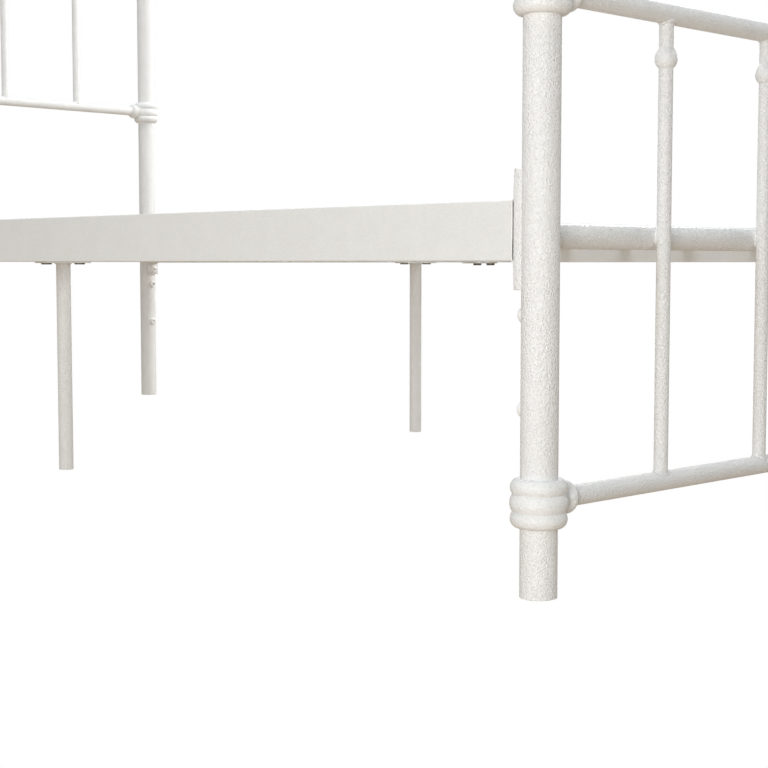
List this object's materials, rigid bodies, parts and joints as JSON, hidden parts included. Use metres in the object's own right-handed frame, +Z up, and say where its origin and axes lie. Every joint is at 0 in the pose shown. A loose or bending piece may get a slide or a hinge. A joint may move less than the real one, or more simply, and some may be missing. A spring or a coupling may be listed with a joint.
{
  "type": "bed frame",
  "caption": "White tubular steel twin bed frame: spindle headboard and lower spindle footboard with ringed collars, side rails, steel slats and a centre support on two legs.",
  "frame": {"origin": "on the floor, in the middle of the bed's outer box", "axes": "+X along the bed towards the footboard, +Y across it towards the far side, +Z up"},
  "size_m": [1.9674, 1.0614, 1.0967],
  "materials": {
    "post_tube": "textured white powder coat, semi-gloss",
    "cast_collar": "textured white powder coat over castings, semi-gloss",
    "panel_tube": "textured white powder coat, semi-gloss",
    "side_rail": "fine-grained white powder coat, satin",
    "slat_steel": "fine-grained white powder coat, satin",
    "bracket_steel": "textured white powder coat, satin",
    "leg_tube": "textured white powder coat, satin",
    "bolt_white": "white enamelled bolt head, semi-gloss",
    "zinc_screw": "dull zinc-plated steel",
    "glide_plastic": "moulded white polyethylene"
  },
  "bodies": {
    "root": {"post_head_near": "post_tube", "side_rail_near_head": "side_rail", "collar_head_near_lower": "cast_collar", "collar_head_near_upper": "cast_collar", "post_head_far": "post_tube", "side_rail_far_head": "side_rail", "collar_head_far_lower": "cast_collar", "collar_head_far_upper": "cast_collar", "head_lower_rail": "panel_tube", "head_upper_rail": "panel_tube", "head_spindle_1": "panel_tube", "head_spindle_2": "panel_tube", "head_spindle_3": "panel_tube", "head_spindle_4": "panel_tube", "head_spindle_5": "panel_tube", "head_cross_tube": "panel_tube", "slat_head_1": "slat_steel", "slat_head_2": "slat_steel", "slat_head_3": "slat_steel", "slat_head_4": "slat_steel", "slat_head_5": "slat_steel", "slat_head_6": "slat_steel", "slat_head_7": "slat_steel", "slat_head_8": "slat_steel", "post_foot_near": "post_tube", "side_rail_near_foot": "side_rail", "collar_foot_near_lower": "cast_collar", "collar_foot_near_upper": "cast_collar", "post_foot_far": "post_tube", "side_rail_far_foot": "side_rail", "collar_foot_far_lower": "cast_collar", "collar_foot_far_upper": "cast_collar", "foot_lower_rail": "panel_tube", "foot_upper_rail": "panel_tube", "foot_spindle_1": "panel_tube", "foot_spindle_2": "panel_tube", "foot_spindle_3": "panel_tube", "foot_spindle_4": "panel_tube", "foot_spindle_5": "panel_tube", "foot_cross_tube": "panel_tube", "slat_foot_1": "slat_steel", "slat_foot_2": "slat_steel", "slat_foot_3": "slat_steel", "slat_foot_4": "slat_steel", "slat_foot_5": "slat_steel", "slat_foot_6": "slat_steel", "slat_foot_7": "slat_steel", "slat_foot_8": "slat_steel", "head_spindle_knobs": "cast_collar", "foot_spindle_knobs": "cast_collar", "post_finials": "cast_collar", "rail_brackets": "bracket_steel", "post_bolts": "bolt_white", "centre_bar": "bracket_steel", "bar_end_plates": "bracket_steel", "leg_plates": "bracket_steel", "centre_leg_near": "leg_tube", "centre_leg_far": "leg_tube", "support_bolts": "zinc_screw", "tube_glides": "glide_plastic"}
  },
  "joints": []
}
